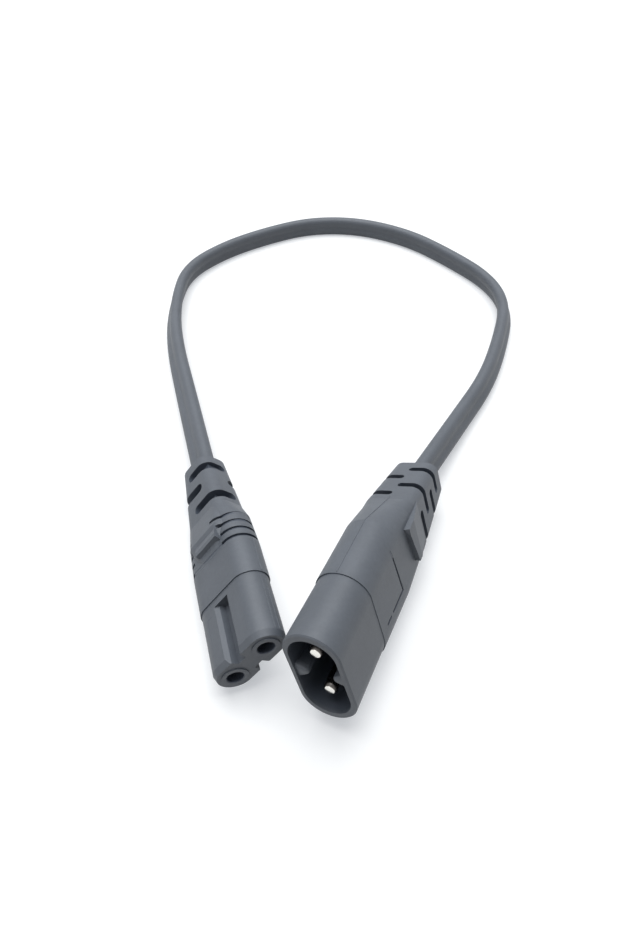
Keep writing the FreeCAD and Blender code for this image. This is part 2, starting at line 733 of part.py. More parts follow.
def build():
    socket_end = oval_prism(CABLE_W, CABLE_T, SOCKET_LEN - SHEATH_ENTRY, SOCKET_LEN)
    plug_end = oval_prism(CABLE_W, CABLE_T, PLUG_LEN - SHEATH_ENTRY, PLUG_LEN)
    socket = {
        "socket_front_insert": socket_front_insert(),
        "socket_inner_mould": socket_inner_mould(),
        "socket_overmould": socket_overmould(socket_end),
    }
    plug = {
        "plug_shroud": plug_shroud(),
        "plug_inner_mould": plug_inner_mould(),
        "plug_overmould": plug_overmould(plug_end),
    }
    for number, side in ((1, 1), (2, -1)):
        socket["socket_contact_%d" % number] = socket_contact(side)
        socket["socket_core_%d" % number] = insulated(*socket_core_args(side))
        socket["socket_strand_%d" % number] = strands(*socket_core_args(side))
        plug["plug_pin_%d" % number] = plug_pin(side)
        plug["plug_core_%d" % number] = insulated(*plug_core_args(side))
        plug["plug_strand_%d" % number] = strands(*plug_core_args(side))
    socket_pose = lying([socket["socket_front_insert"], socket["socket_overmould"]],
                        SOCKET_YAW, SOCKET_TILT, SOCKET_ROLL, SOCKET_X, SOCKET_Y)
    plug_pose = lying([plug["plug_shroud"], plug["plug_overmould"]],
                      PLUG_YAW, PLUG_TILT, PLUG_ROLL, PLUG_X, PLUG_Y)
    nodes = {}
    for pieces, placement in ((socket, socket_pose), (plug, plug_pose)):
        for name, shape in pieces.items():
            nodes[name] = shape.transformed(placement.toMatrix())
    route = cable_route(socket_pose, plug_pose)
    for point in route:
        print("route (%.2f, %.2f, %.2f)" % tuple(point))
    ends = [socket_end.transformed(socket_pose.toMatrix()), plug_end.transformed(plug_pose.toMatrix())]
    nodes["cable_sheath"] = cable_sheath(route, ends)
    for name, placement in (("socket", socket_pose), ("plug", plug_pose)):
        print(name, "face", placement.Base, "axis", placement.Rotation.multVec(Vector(0, 0, 1)))
    return nodes


def main():
    os.makedirs("parts", exist_ok=True)
    for name, shape in build().items():
        solids = shape.Solids
        print("%-22s solids %d valid %s volume %.2f" % (name, len(solids), shape.isValid(), shape.Volume))
        solids[0].exportStep("parts/%s.step" % name)


main()
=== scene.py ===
# %% [markdown]
# # Dressing a figure-eight extension lead
# A short lead lies on a pale table: a socket with two holes at one end, a plug with two
# shrouded pins at the other, and a flat two-core cable in a loop between them. The exact
# solids of both connectors arrive ready-made from a CAD model. This lesson adds what a
# camera sees: the limp cable, the moulded finishes, the marks of the mould and the light.
# Everything is in metres, on the table at z = 0.

import math

import bmesh
import bpy
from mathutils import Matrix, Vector


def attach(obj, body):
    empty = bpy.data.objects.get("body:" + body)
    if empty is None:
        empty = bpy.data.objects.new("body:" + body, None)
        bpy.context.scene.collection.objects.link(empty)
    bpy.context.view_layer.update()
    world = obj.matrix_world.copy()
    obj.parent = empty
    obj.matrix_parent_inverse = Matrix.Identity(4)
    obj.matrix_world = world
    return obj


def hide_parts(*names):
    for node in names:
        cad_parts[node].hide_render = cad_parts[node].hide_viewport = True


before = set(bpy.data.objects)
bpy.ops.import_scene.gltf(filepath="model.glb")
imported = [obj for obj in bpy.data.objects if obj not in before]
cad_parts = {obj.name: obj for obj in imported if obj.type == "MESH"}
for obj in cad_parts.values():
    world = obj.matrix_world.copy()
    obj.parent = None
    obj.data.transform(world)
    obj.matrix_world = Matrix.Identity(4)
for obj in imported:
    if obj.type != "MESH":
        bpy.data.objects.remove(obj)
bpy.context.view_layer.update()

# %% [markdown]
# ## The camera
# A phone-like camera looks down at the lead from the front. Its place came from matching the
# outlines of both connectors, so the near ends look large and the far side of the loop small.
# The lens is set against the longer side of the picture, which is why a short focal length
# still frames the object tightly.

# %% Camera
AIM = Vector((-0.00016, 0.03350, 0.0))
CAMERA_PITCH = math.radians(46.0)
CAMERA_AWAY = 0.1455
SENSOR_WIDTH = 36.0
LENS = 23.89
NEAREST_SEEN = 0.005

camera_data = bpy.data.cameras.new("camera")
camera_data.sensor_width = SENSOR_WIDTH
camera_data.lens = LENS
camera_data.clip_start = NEAREST_SEEN
camera = bpy.data.objects.new("camera", camera_data)
backwards = Vector((0, -math.cos(CAMERA_PITCH), math.sin(CAMERA_PITCH)))
camera.location = AIM + backwards * CAMERA_AWAY
camera.rotation_euler = (-backwards).to_track_quat("-Z", "Y").to_euler()
bpy.context.scene.collection.objects.link(camera)
bpy.context.scene.camera = camera
print("camera at", tuple(round(v, 4) for v in camera.location))

# %% [markdown]
# ## The cable's line
# The cable is limp enough to lie flat on the table and stiff enough to make one wide loop.
# A NURBS curve of order 3 is the right tool: it is smooth everywhere and stays inside its
# control points, so a route of points on the table never dips below it. The points run from
# the socket's tail, round the loop, to the plug's tail.

# %% Route of the cable
MM = 0.001
STEPS_PER_SPAN = 12
ROUTE = [
    (-0.02372, 0.02692, 0.00521),
    (-0.03070, 0.05096, 0.00346),
    (-0.03910, 0.08000, 0.00310),
    (-0.04160, 0.10000, 0.00310),
    (-0.04060, 0.11880, 0.00310),
    (-0.03020, 0.13320, 0.00310),
    (-0.01610, 0.14410, 0.00310),
    (-0.00020, 0.15240, 0.00310),
    (0.01740, 0.15210, 0.00310),
    (0.03430, 0.14290, 0.00310),
    (0.04610, 0.12900, 0.00310),
    (0.05680, 0.11280, 0.00310),
    (0.05920, 0.09680, 0.00310),
    (0.05290, 0.07730, 0.00310),
    (0.04570, 0.06040, 0.00340),
    (0.03600, 0.04500, 0.00360),
    (0.02332, 0.02340, 0.00657),
]


def spline_line(points):
    """Points along the smooth curve that these control points steer."""
    curve = bpy.data.curves.new("cable line", "CURVE")
    curve.dimensions = "3D"
    curve.resolution_u = STEPS_PER_SPAN
    spline = curve.splines.new("NURBS")
    spline.points.add(len(points) - 1)
    for target, point in zip(spline.points, points):
        target.co = (*point, 1.0)
    spline.order_u = 3
    spline.use_endpoint_u = True
    holder = bpy.data.objects.new("cable line", curve)
    bpy.context.scene.collection.objects.link(holder)
    placed = holder.evaluated_get(bpy.context.evaluated_depsgraph_get())
    mesh = bpy.data.meshes.new_from_object(placed)
    line = [vertex.co.copy() for vertex in mesh.vertices]
    bpy.data.objects.remove(holder)
    bpy.data.meshes.remove(mesh)
    bpy.data.curves.remove(curve)
    return line


def lengths_along(line):
    """Distance from the start at each point of a line."""
    travelled = [0.0]
    for a, b in zip(line, line[1:]):
        travelled.append(travelled[-1] + (b - a).length)
    return travelled


cable_line = spline_line(ROUTE)
travelled = lengths_along(cable_line)
print("cable line: %d points, %.1f mm" % (len(cable_line), travelled[-1] / MM))

# %% [markdown]
# ## Pieces made of rings
# The cable, the pins and the rib fronts are each a row of outlines joined by faces, so they
# share three helpers: one joins neighbouring rings, one closes the ends, and one makes an
# object that shades smoothly except at its real edges.

# %% Helpers for pieces made of rings


def join_rings(bm, rings):
    """Faces from each ring to the next. A ring of one point is a tip."""
    for near, far in zip(rings, rings[1:]):
        for k in range(max(len(near), len(far))):
            loop = [near[k % len(near)], near[(k + 1) % len(near)],
                    far[(k + 1) % len(far)], far[k % len(far)]]
            bm.faces.new(list(dict.fromkeys(loop)))


def close_ends(bm, rings):
    bm.faces.new(rings[0])
    bm.faces.new(rings[-1])


def built_piece(name, bm, sharp_past):
    """Object that is smooth, except at edges sharper than an angle in degrees."""
    bmesh.ops.recalc_face_normals(bm, faces=bm.faces)
    mesh = bpy.data.meshes.new(name)
    bm.to_mesh(mesh)
    bm.free()
    mesh.polygons.foreach_set("use_smooth", [True] * len(mesh.polygons))
    mesh.set_sharp_from_angle(angle=math.radians(sharp_past))
    piece = bpy.data.objects.new(name, mesh)
    bpy.context.scene.collection.objects.link(piece)
    return piece


print("ring helpers ready")

# %% [markdown]
# ## The cable's jacket
# A flat cable bends easily only across its thin side, so round a corner it stands on edge,
# and between corners it leans. The lean is given as a few stations along the line and eased
# between them. At both ends it matches the roll of the connector, because the strain relief
# grips the flat of the cable. Each flat side has a shallow waist between the two cores, which
# shows as one soft line along the cable.

# %% Cable jacket
CABLE_WIDE = 6.2 * MM
CABLE_THICK = 3.3 * MM
INTO_RELIEF = 1.5 * MM
END_STEPS = 12
LEAN = [(0.0, 42.0), (0.030, 41.0), (0.055, 32.0), (0.085, 14.0), (0.110, 4.0), (0.185, 2.0),
        (0.215, 6.0), (0.240, 25.0), (0.275, 27.0), (0.330, 22.0)]
SOFTEN = 0.012
SOFTEN_STEPS = 4
WAIST = [(1.1, 0.02), (0.75, 0.09), (0.4, 0.2), (0.0, 0.27)]


def between_stations(stations, at):
    """Value on the straight run between the two stations around a place."""
    for (s0, v0), (s1, v1) in zip(stations, stations[1:]):
        if at <= s1:
            return v0 + (v1 - v0) * max(0.0, (at - s0) / (s1 - s0))
    return stations[-1][1]


def eased(stations, at):
    """The same, averaged over a short stretch so that the lean never turns abruptly."""
    steps = [between_stations(stations, at + SOFTEN * k / SOFTEN_STEPS)
             for k in range(-SOFTEN_STEPS, SOFTEN_STEPS + 1)]
    return sum(steps) / len(steps)


def flat_oval(width, thickness, waist):
    """Outline of the jacket: two round ends joined by two flats with a waist.

    The waist is given as places from the middle of the width and how far each is sunk, in mm.
    """
    half = (width - thickness) / 2
    radius = thickness / 2
    sunk = waist + [(-at, depth) for at, depth in reversed(waist[:-1])]
    outline = []
    for side in (1, -1):
        for step in range(END_STEPS + 1):
            angle = -math.pi / 2 + math.pi * step / END_STEPS
            outline.append((side * (half + radius * math.cos(angle)),
                            side * radius * math.sin(angle)))
        outline += [(side * at * MM, side * (radius - depth * MM)) for at, depth in sunk]
    return outline


def leaning_tube(name, line, outline, lean):
    """Piece that carries an outline along a line, turned about it by a lean in degrees."""
    bm = bmesh.new()
    rings = []
    marks = lengths_along(line)
    for i, point in enumerate(line):
        along = (line[min(i + 1, len(line) - 1)] - line[max(i - 1, 0)]).normalized()
        outwards = Vector((0, 0, 1)).cross(along).normalized()
        upwards = along.cross(outwards)
        angle = math.radians(eased(lean, marks[i]))
        thin = outwards * math.cos(angle) + upwards * math.sin(angle)
        wide = along.cross(thin)
        rings.append([bm.verts.new(point + wide * w + thin * t) for w, t in outline])
    join_rings(bm, rings)
    close_ends(bm, rings)
    return built_piece(name, bm, sharp_past=60)


start_step = (cable_line[0] - cable_line[1]).normalized() * INTO_RELIEF
end_step = (cable_line[-1] - cable_line[-2]).normalized() * INTO_RELIEF
jacket_line = [cable_line[0] + start_step] + cable_line + [cable_line[-1] + end_step]
cable = leaning_tube("cable", jacket_line, flat_oval(CABLE_WIDE, CABLE_THICK, WAIST), LEAN)
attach(cable, "root")
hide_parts("cable_sheath")
print("jacket:", len(cable.data.polygons), "faces")

# %% [markdown]
# ## Where each connector lies
# Pins, mould seams and fine marks belong to a connector, not to the table. Each connector has
# a frame of its own, as on a drawing: x from lobe to lobe, y across the flat sides and depth
# behind the mating face. The heading, tilt and roll that turned the solids turn this frame.

# %% Frames of the connectors
SOCKET_LENGTH = 49.0
PLUG_LENGTH = 53.5


class Lay:
    """A connector's own frame, with lengths in millimetres and angles in degrees."""

    def __init__(self, yaw, tilt, roll, face):
        yaw, tilt, roll = (math.radians(angle) for angle in (yaw, tilt, roll))
        across = Vector((math.cos(yaw), math.sin(yaw), 0))
        self.out = Vector((math.sin(yaw) * math.cos(tilt), -math.cos(yaw) * math.cos(tilt),
                           -math.sin(tilt)))
        up = self.out.cross(across)
        self.side = across * math.cos(roll) + up * math.sin(roll)
        self.flat = up * math.cos(roll) - across * math.sin(roll)
        self.face = Vector(face) * MM

    def point(self, x, y, depth):
        return self.face + (self.side * x + self.flat * y - self.out * depth) * MM


SOCKET = Lay(16.2, -4.0, 48.0, (-10.08, -20.02, 8.627))
PLUG = Lay(-24.6, -6.8, -69.5, (1.21, -24.90, 12.908))
print("socket tail at", SOCKET.point(0, 0, SOCKET_LENGTH),
      "plug tail at", PLUG.point(0, 0, PLUG_LENGTH))

# %% [markdown]
# ## The plug's pins
# A pin is a turned part: a small flat tip, a rounded bevel, a smooth barrel, then the thicker
# root, collar and crimp end that the moulding hides. A profile turned about its axis gives
# that with clean round highlights, which the faceted solid can't show up close.

# %% Pins
PIN_PITCH = 8.6
PIN_SIDES = 48
PIN_PROFILE = [(1.2, 0.0), (1.2, 0.82), (1.23, 0.87), (1.72, 1.15), (1.82, 1.19), (1.95, 1.2),
               (11.2, 1.2), (11.2, 1.4), (13.2, 1.4), (13.2, 1.7), (14.4, 1.7), (14.4, 1.1),
               (20.2, 1.1), (20.2, 0.5), (17.0, 0.5), (17.0, 0.0)]


def turned(name, lay, x, profile):
    """Piece turned about a line parallel to the connector's axis."""
    bm = bmesh.new()
    rings = []
    for depth, radius in profile:
        count = PIN_SIDES if radius > 0 else 1
        angles = [2 * math.pi * k / PIN_SIDES for k in range(count)]
        places = [(x + radius * math.cos(a), radius * math.sin(a)) for a in angles]
        rings.append([bm.verts.new(lay.point(*place, depth)) for place in places])
    join_rings(bm, rings)
    return built_piece(name, bm, sharp_past=35)


for number, x in ((1, PIN_PITCH / 2), (2, -PIN_PITCH / 2)):
    pin = turned("pin_%d" % number, PLUG, x, PIN_PROFILE)
    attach(pin, "root")
    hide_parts("plug_pin_%d" % number)
print("pins turned:", len(pin.data.polygons), "faces each")

# %% [markdown]
# ## The fronts of the keying ribs
# Two ribs on the cavity's flat walls keep the plug from entering anything but its socket. On
# the real plug they reach almost to the rim and end in a rounded nose. A nose is a short run
# of the rib's section, narrowed and drawn to the wall towards its front.

# %% Rib fronts
RIB_SHIFT = 0.3
CAVITY_WALL = 4.2
RIB_SECTION = [(1.42, CAVITY_WALL), (1.06, 3.2), (0.62, 2.42), (0.34, 2.12), (0.0, 2.04)]
RIB_NOSE = [(1.6, 1.0, 0.0), (0.85, 1.0, 0.0), (0.66, 0.95, 0.07), (0.52, 0.84, 0.22),
            (0.44, 0.66, 0.46), (0.40, 0.42, 0.80)]


def rib_fronts(name, lay):
    """Noses of both ribs: the section at a few depths, narrowed and drawn to the wall."""
    bm = bmesh.new()
    for turn in (1, -1):
        rings = []
        for depth, narrower, up in RIB_NOSE:
            half = [(narrower * x, min(y + up, CAVITY_WALL)) for x, y in RIB_SECTION]
            outline = half + [(-x, y) for x, y in reversed(half[:-1])]
            rings.append([bm.verts.new(lay.point(turn * (x + RIB_SHIFT), turn * y, depth))
                          for x, y in outline])
        join_rings(bm, rings)
        close_ends(bm, rings)
    return built_piece(name, bm, sharp_past=50)


noses = rib_fronts("rib_fronts", PLUG)
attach(noses, "root")
print("rib fronts:", len(noses.data.polygons), "faces")

# %% [markdown]
# ## Mould seams
# Where the two halves of a mould meet, a fine bead of plastic is left along each narrow edge.
# It follows the body's outline, so it is a path with a small round section: the job of a
# Geometry Nodes tree that turns edges into a curve and gives the curve a profile. Its width
# and the number of its sides are inputs, so one tree serves every seam. The beads stop short
# of the grip's grooves and the relief's slots, which cut through the edge.

# %% Geometry Nodes tree of a mould seam
seam_tree = bpy.data.node_groups.new("mould seam", "GeometryNodeTree")
SEAM_INPUTS = {}
for label, kind in (("Path", "NodeSocketGeometry"), ("Bead width", "NodeSocketFloat"),
                    ("Sides", "NodeSocketInt"), ("Finish", "NodeSocketMaterial")):
    entry = seam_tree.interface.new_socket(label, in_out="INPUT", socket_type=kind)
    SEAM_INPUTS[label] = entry.identifier
seam_tree.interface.new_socket("Bead", in_out="OUTPUT", socket_type="NodeSocketGeometry")


def seam_node(kind, links, **settings):
    """Node of the tree, with its inputs linked from other nodes' outputs."""
    made = seam_tree.nodes.new(kind)
    for key, value in settings.items():
        setattr(made, key, value)
    for key, output in links.items():
        seam_tree.links.new(output, made.inputs[key])
    return made


given = seam_tree.nodes.new("NodeGroupInput").outputs
radius = seam_node("ShaderNodeMath", {0: given["Bead width"]}, operation="MULTIPLY")
radius.inputs[1].default_value = 0.5
path = seam_node("GeometryNodeMeshToCurve", {"Mesh": given["Path"]})
section = seam_node("GeometryNodeCurvePrimitiveCircle",
                    {"Resolution": given["Sides"], "Radius": radius.outputs[0]})
bead = seam_node("GeometryNodeCurveToMesh",
                 {"Curve": path.outputs[0], "Profile Curve": section.outputs[0]})
bead.inputs["Fill Caps"].default_value = True
real = seam_node("GeometryNodeRealizeInstances", {0: bead.outputs[0]})
finished = seam_node("GeometryNodeSetMaterial",
                     {"Geometry": real.outputs[0], "Material": given["Finish"]})
seam_node("NodeGroupOutput", {0: finished.outputs[0]})
print("seam tree:", len(seam_tree.nodes), "nodes")

# %% [markdown]
# ## A small language for finishes
# Finishes are built from nodes. Wiring them by hand hides the maths, so one class wraps a
# socket and lets Python's own operators add Math nodes: 1 - mask, or ridge * 0.3, reads as
# what it does. Any other node comes from one method that takes its type, settings and inputs.

# %% A number on its way through a finish


class Wire:
    """A number or vector on its way through a finish."""

    def __init__(self, finish, socket):
        self.finish = finish
        self.socket = socket

    def maths(self, operation, *others, first=None):
        operands = [self if first is None else first] + list(others)
        return self.finish.node("ShaderNodeMath", {"operation": operation},
                                {i: operand for i, operand in enumerate(operands)})

    def __add__(self, other):
        return self.maths("ADD", other)

    __radd__ = __add__

    def __sub__(self, other):
        return self.maths("SUBTRACT", other)

    def __rsub__(self, other):
        return self.maths("SUBTRACT", self, first=other)

    def __mul__(self, other):
        return self.maths("MULTIPLY", other)

    __rmul__ = __mul__

    def size(self):
        return self.maths("ABSOLUTE")

    def sign(self):
        return self.maths("SIGN")

    def least(self, other):
        return self.maths("MINIMUM", other)

    def most(self, other):
        return self.maths("MAXIMUM", other)

    def above(self, edge, soft):
        """0 below an edge and 1 above it, over a soft step."""
        return self.finish.node("ShaderNodeMapRange", {"interpolation_type": "SMOOTHSTEP"},
                                {"Value": self, "From Min": edge - soft,
                                 "From Max": edge + soft}, "Result")

    def between(self, low, high, soft):
        return self.above(low, soft) * (1 - self.above(high, soft))


print("maths on sockets ready")

# %% [markdown]
# ## Finishes that know where they are
# A finish reads a point's place on the object, and from it the place in a connector's own
# frame, in millimetres as on the drawing. With that it can paint shade on what lies below the
# outer skin and draw fine lines. A bump or a change of tone comes from noise at a named scale.

# %% Finishes
RAMP_REACH = 60.0
RAMP_SPAN = 20.0
SKIN_SLACK = 0.11
SKIN_SOFT = 0.06
STROKE_SOFT = 0.06


class Finish:
    """One material whose nodes are made by name."""

    def __init__(self, name):
        self.material = bpy.data.materials.new(name)
        self.material.use_nodes = True
        self.tree = self.material.node_tree
        self.shader = self.tree.nodes["Principled BSDF"]
        self.place = self.node("ShaderNodeTexCoord", output="Object")

    def node(self, kind, settings=None, inputs=None, output=0):
        made = self.tree.nodes.new(kind)
        for key, value in (settings or {}).items():
            setattr(made, key, value)
        for key, value in (inputs or {}).items():
            self.feed(made.inputs[key], value)
        return Wire(self, made.outputs[output])

    def feed(self, socket, value):
        if isinstance(value, Wire):
            self.tree.links.new(value.socket, socket)
        else:
            socket.default_value = value

    def set(self, **values):
        """Principled inputs by name, with _ for a space."""
        for name, value in values.items():
            self.feed(self.shader.inputs[name.replace("_", " ")], value)

    def along(self, origin, axis):
        """Distance along an axis from an origin, in metres."""
        moved = self.node("ShaderNodeVectorMath", {"operation": "SUBTRACT"},
                          {0: self.place, 1: tuple(origin)})
        return self.node("ShaderNodeVectorMath", {"operation": "DOT_PRODUCT"},
                         {0: moved, 1: tuple(axis)}, "Value")

    def length(self, x, y):
        """Length of a vector in a plane."""
        pair = self.node("ShaderNodeCombineXYZ", None, {0: x, 1: y})
        return self.node("ShaderNodeVectorMath", {"operation": "LENGTH"}, {0: pair}, "Value")

    def on(self, lay):
        """x, y and depth in a connector's own frame, in millimetres."""
        return [self.along(lay.face, axis / MM) for axis in (lay.side, lay.flat, -lay.out)]

    def stepped(self, value, stops):
        """Straight runs between stops, each a value up to the reach and what it gives."""
        ramp = self.node("ShaderNodeValToRGB", None, {"Fac": value * (1 / RAMP_REACH)})
        elements = ramp.socket.node.color_ramp.elements
        while len(elements) < len(stops):
            elements.new(1.0)
        for element, (at, gives) in zip(elements, stops):
            element.position = at / RAMP_REACH
            element.color = (*[gives / RAMP_SPAN] * 3, 1.0)
        return ramp * RAMP_SPAN

    def painted_shade_below_skin(self, lay, sections):
        """Mask of painted shade: 1 in slots, grooves and joints, 0 on the outer skin that
        these sections describe.

        A section is a depth, half its width, half its height and its corner radius.
        """
        x, y, depth = self.on(lay)
        wide, high, corner = (self.stepped(depth, [(s[0], s[k]) for s in sections])
                              for k in (1, 2, 3))
        past_x = x.size() - wide + corner
        past_y = y.size() - high + corner
        reach = self.length(past_x.most(0.0), past_y.most(0.0))
        skin = reach + past_x.most(past_y).least(0.0) - corner
        return 1 - skin.above(-SKIN_SLACK, SKIN_SOFT)

    def stroke(self, x, depth, start, end, width):
        """1 on a straight line between two places on a flat side, 0 beside it."""
        dx, dd = end[0] - start[0], end[1] - start[1]
        run = math.hypot(dx, dd)
        from_x, from_d = x - start[0], depth - start[1]
        along = from_x * (dx / run) + from_d * (dd / run)
        across = from_d * (dx / run) - from_x * (dd / run)
        beside = across.size().above(width / 2, STROKE_SOFT)
        return along.between(0.0, run, STROKE_SOFT) * (1 - beside)

    def noise(self, scale, detail=2.0, roughness=0.5, stretch=None):
        place = self.place
        if stretch is not None:
            place = self.node("ShaderNodeVectorMath", {"operation": "MULTIPLY"},
                              {0: place, 1: stretch})
        return self.node("ShaderNodeTexNoise", None,
                         {"Vector": place, "Scale": scale, "Detail": detail,
                          "Roughness": roughness}, "Fac")

    def mottle(self, coarse, fine):
        """Cloudy change at two scales, half of each."""
        return self.noise(coarse, 2.0, 0.5) * 0.5 + self.noise(fine, 4.0, 0.65) * 0.5

    def tint(self, amount, dark, light):
        """Colour between two others, each a triple or itself a wire."""
        dark, light = (c if isinstance(c, Wire) else (*c, 1.0) for c in (dark, light))
        return self.node("ShaderNodeMix", {"data_type": "RGBA"},
                         {"Factor": amount, 6: dark, 7: light}, 2)

    def relief(self, height, depth):
        """Small relief of a given depth in metres."""
        return self.node("ShaderNodeBump", None,
                         {"Height": height, "Distance": depth, "Strength": 1.0}, "Normal")


def dress(finish, *names):
    """Give a finish to pieces by name."""
    for name in names:
        piece = bpy.data.objects[name]
        piece.data.materials.clear()
        piece.data.materials.append(finish.material)


print("finish helper ready")

# %% [markdown]
# ## Soft black PVC
# The jacket and both overmoulds are the same soft PVC. It is not truly black: a broad dull
# shine lifts it to grey wherever light falls. A fine uneven grain, left by the mould, breaks
# up that shine, and a slight mottle, coarse and fine, keeps large faces from looking painted.
# In the slots, grooves and joints it gets painted shade: a darker colour, placed by working
# out how deep each point lies below the body's outer skin. Fine sunk marks on the flat sides
# are small bumps that get the same painted shade.

# %% Soft PVC
SOFT_TONES = (0.066, 0.074, 0.088), (0.121, 0.136, 0.159)
SOFT_PAINTED_SHADE = (0.058, 0.070, 0.092)
SOFT_GRAIN = (5200.0, 3.0, 0.6)
SOFT_MOTTLE = (160.0, 1300.0)
SOFT_ROUGHNESS = 0.46
SOFT_BUMPS = 0.00003
GRAIN_ROUGHNESS = 0.12
# Sunk marks are a real bump of MARK_DEPTH and also get painted shade of MARK_SHADE.
MARK_SHADE = 0.8
MARK_DEPTH = 4.0
SOCKET_SKIN = [(13.1, 8.1, 3.8, 3.8), (21.0, 8.1, 3.8, 3.8), (28.5, 7.6, 3.8, 3.8),
               (33.0, 5.75, 3.8, 2.6), (48.6, 4.25, 3.65, 2.6), (49.0, 3.85, 3.25, 2.2)]
PLUG_SKIN = [(13.2, 9.9, 5.15, 5.15), (26.7, 10.1, 5.15, 5.15), (34.3, 7.7, 5.15, 3.4),
             (37.2, 6.8, 5.15, 2.2), (53.1, 4.3, 4.7, 2.2), (53.5, 3.9, 4.3, 1.8)]
SOCKET_FLAT = 3.2
PLUG_FLAT = 4.0


def soft_pvc(name, lay=None, sections=None, marks=None):
    """Soft PVC, with painted shade below a connector's skin and along fine sunk marks."""
    made = Finish(name)
    grain = made.noise(*SOFT_GRAIN)
    colour = made.tint(made.mottle(*SOFT_MOTTLE), *SOFT_TONES)
    height = grain
    if lay is not None:
        lines = marks(made, *made.on(lay))
        # Painted shade: below the skin and along the marks the colour goes to a darker tone.
        shade = made.painted_shade_below_skin(lay, sections).most(lines * MARK_SHADE)
        colour = made.tint(shade, colour, SOFT_PAINTED_SHADE)
        height = grain - lines * MARK_DEPTH
    made.set(Base_Color=colour, Roughness=SOFT_ROUGHNESS + grain * GRAIN_ROUGHNESS,
             Normal=made.relief(height, SOFT_BUMPS))
    return made


def socket_marks(made, x, y, depth):
    """The first groove goes on as a thin line across each flat side, before the thumb rest."""
    turned_x = x * y.sign()
    line = made.stroke(turned_x, depth, (-5.2, 21.9), (3.9, 21.9), 0.3)
    border = made.stroke(turned_x, depth, (-5.0, 21.2), (3.9, 21.2), 0.12)
    return (line + border * 0.35) * y.size().above(SOCKET_FLAT, 0.1)


def plug_marks(made, x, y, depth):
    """The frame of the bare label panel and the dash in line with it, on one flat side."""
    frame_back = made.stroke(x, depth, (-6.2, 23.1), (3.75, 24.1), 0.65)
    frame_side = made.stroke(x, depth, (3.7, 24.2), (3.7, 18.4), 0.6)
    dash = made.stroke(x, depth, (3.7, 17.6), (3.7, 15.5), 0.6)
    return frame_back.most(frame_side).most(dash) * y.above(PLUG_FLAT, 0.2)


dress(soft_pvc("soft pvc"), "cable")
socket_soft = soft_pvc("soft pvc socket", SOCKET, SOCKET_SKIN, socket_marks)
dress(socket_soft, "socket_overmould")
plug_soft = soft_pvc("soft pvc plug", PLUG, PLUG_SKIN, plug_marks)
dress(plug_soft, "plug_overmould")
print("soft PVC on cable and overmoulds")

# %% [markdown]
# ## Harder black moulding
# The socket's front and the plug's shroud are a harder plastic, with a finer grain and a
# slightly tighter shine. The insides of the shroud and of the bores get painted shade, which
# leaves out the ribs' noses near the rim, where light still reaches. Two fine lines of painted
# shade, for faint creases, run beside the socket's valleys.

# %% Hard moulding
HARD_TONES = (0.066, 0.075, 0.089), (0.114, 0.127, 0.148)
HARD_PAINTED_SHADE = (0.050, 0.061, 0.084)
HARD_GRAIN = (6500.0, 2.0, 0.5)
HARD_MOTTLE = (210.0, 1500.0)
HARD_ROUGHNESS = 0.44
HARD_BUMPS = 0.000018
INSERT_FLAT = 3.0
BORE_EDGE = 1.58
CAVITY_CENTRES = 4.25
CAVITY_RADIUS = 4.22
RIB_HALF = 1.5
RIB_INNER = 1.9
RIB_LIT_TO = 2.2
CAVITY_PAINTED_SHADE = 0.65


def hard_moulding(name, lay, paint_shade):
    """Hard plastic, darkened with painted shade where a point lies inside."""
    made = Finish(name)
    grain = made.noise(*HARD_GRAIN)
    tone = made.tint(made.mottle(*HARD_MOTTLE), *HARD_TONES)
    # Painted shade: where the mask says a point lies inside, the colour goes to the darker
    # tone.
    made.set(Base_Color=made.tint(paint_shade(made, *made.on(lay)), tone, HARD_PAINTED_SHADE),
             Roughness=HARD_ROUGHNESS + grain * GRAIN_ROUGHNESS,
             Normal=made.relief(grain, HARD_BUMPS))
    return made


def insert_painted_shade(made, x, y, depth):
    """Painted shade in the bores, and two fine lines of painted shade beside the valley of
    each flat side.
    """
    past_bore = made.length(x.size() - PIN_PITCH / 2, y).above(BORE_EDGE, 0.05)
    turned_x = x * y.sign()
    # Painted shade of faint creases: two thin dark lines in the colour only, with no bump.
    line = made.stroke(turned_x, depth, (-4.3, 5.5), (-4.3, 10.4), 0.12)
    tick = made.stroke(turned_x, depth, (-4.3, 10.4), (-3.1, 10.5), 0.16)
    fine = (line * 0.5).most(tick * 0.7) * y.size().above(INSERT_FLAT, 0.1)
    return (1 - past_bore).most(fine)


def shroud_painted_shade(made, x, y, depth):
    """Painted shade on the cavity's walls and floor behind the rim, without the fronts of its
    ribs.
    """
    outside = made.length((x.size() - CAVITY_CENTRES).most(0.0), y).above(CAVITY_RADIUS, 0.06)
    beside = (x * y.sign() - RIB_SHIFT).size().above(RIB_HALF, 0.1)
    rib = (1 - beside) * y.size().above(RIB_INNER, 0.1) * (1 - depth.above(RIB_LIT_TO, 1.4))
    return (1 - outside) * depth.above(0.5, 0.5) * (1 - rib) * CAVITY_PAINTED_SHADE


insert_hard = hard_moulding("hard moulding socket", SOCKET, insert_painted_shade)
dress(insert_hard, "socket_front_insert")
dress(hard_moulding("hard moulding plug", PLUG, shroud_painted_shade), "plug_shroud", "rib_fronts")
print("hard moulding on insert and shroud")

# %% [markdown]
# ## Beads along the seams
# The overmoulds have one bead along each narrow edge, and the hard front has two, where a
# narrow strip of the mould met both halves. Each takes the finish of what it runs along.

# %% Seam beads
BEAD_SIDES = 8
SOCKET_EDGE = [(13.4, 8.1), (21.0, 8.1), (21.3, 8.08)]
INSERT_EDGE = [(1.2, 7.87), (12.9, 7.87)]
PLUG_EDGE = [(13.5, 9.9), (26.7, 10.1), (34.3, 7.7), (37.2, 6.8), (38.0, 6.67)]


